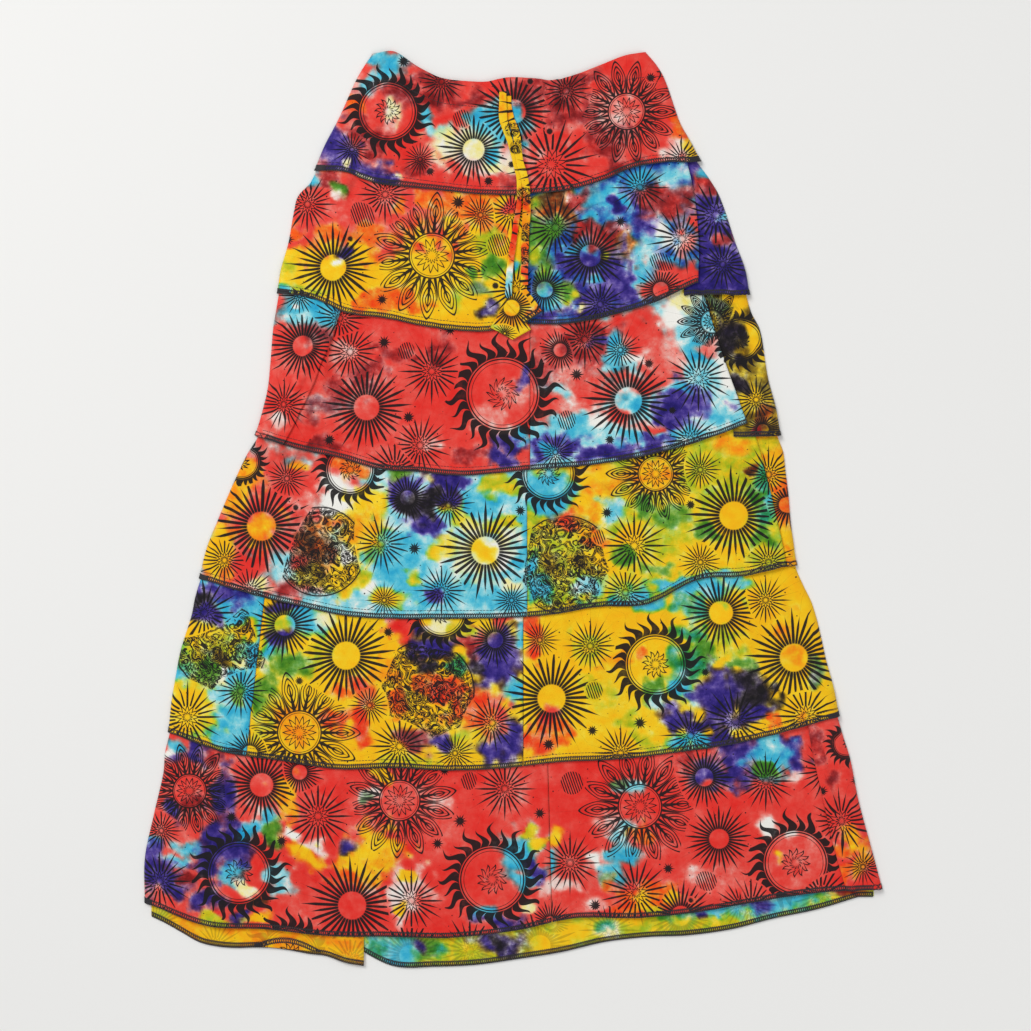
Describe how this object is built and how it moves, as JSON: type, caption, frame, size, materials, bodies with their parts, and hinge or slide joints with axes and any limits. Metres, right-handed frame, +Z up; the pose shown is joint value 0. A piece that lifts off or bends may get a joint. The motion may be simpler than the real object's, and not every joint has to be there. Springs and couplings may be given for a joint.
{
  "type": "long tiered printed skirt, laid flat",
  "caption": "Long tiered cotton skirt with a gathered waistband and a drawstring at the front, printed all over with suns and stars, lying flat on its back.",
  "frame": {"origin": "under the middle of the skirt's box, on the surface that it lies on", "axes": "+X to the right of the skirt as seen from above its front, +Y from the hem to the waist, +Z up from the surface"},
  "size_m": [0.7604, 0.9422, 0.0115],
  "materials": {
    "red_printed_cloth": "matt, slightly crinkled plain weave",
    "yellow_printed_cloth": "matt, slightly crinkled plain weave",
    "blue_printed_cloth": "matt, slightly crinkled plain weave",
    "green_printed_cloth": "matt, slightly crinkled plain weave",
    "tie_cloth": "matt, slightly crinkled plain weave"
  },
  "bodies": {
    "root": {"waistband_front": "red_printed_cloth", "waistband_back": "red_printed_cloth", "tier3_side_left": "red_printed_cloth", "tier3_front_left": "red_printed_cloth", "tier3_front_right": "red_printed_cloth", "tier3_back": "red_printed_cloth", "tier6_front_left": "red_printed_cloth", "tier6_front_right": "red_printed_cloth", "tier6_pleat_right": "red_printed_cloth", "tier2_front_left": "yellow_printed_cloth", "tier4_side_right": "yellow_printed_cloth", "tier5_front_left": "yellow_printed_cloth", "tier5_front_right": "yellow_printed_cloth", "tier5_back": "yellow_printed_cloth", "tier6_back_left": "yellow_printed_cloth", "tier6_hem_turned": "yellow_printed_cloth", "tier2_front_right": "blue_printed_cloth", "tier2_side_right": "blue_printed_cloth", "tier2_back": "blue_printed_cloth", "tier5_side_left": "blue_printed_cloth", "tier3_side_right": "green_printed_cloth", "tier4_front_left": "green_printed_cloth", "tier4_front_right": "green_printed_cloth", "tier4_back": "green_printed_cloth", "tier6_back_right": "green_printed_cloth", "tie_long": "tie_cloth", "tie_short": "tie_cloth", "tie_tip_lower": "tie_cloth", "tie_tip_upper": "tie_cloth"}
  },
  "joints": []
}
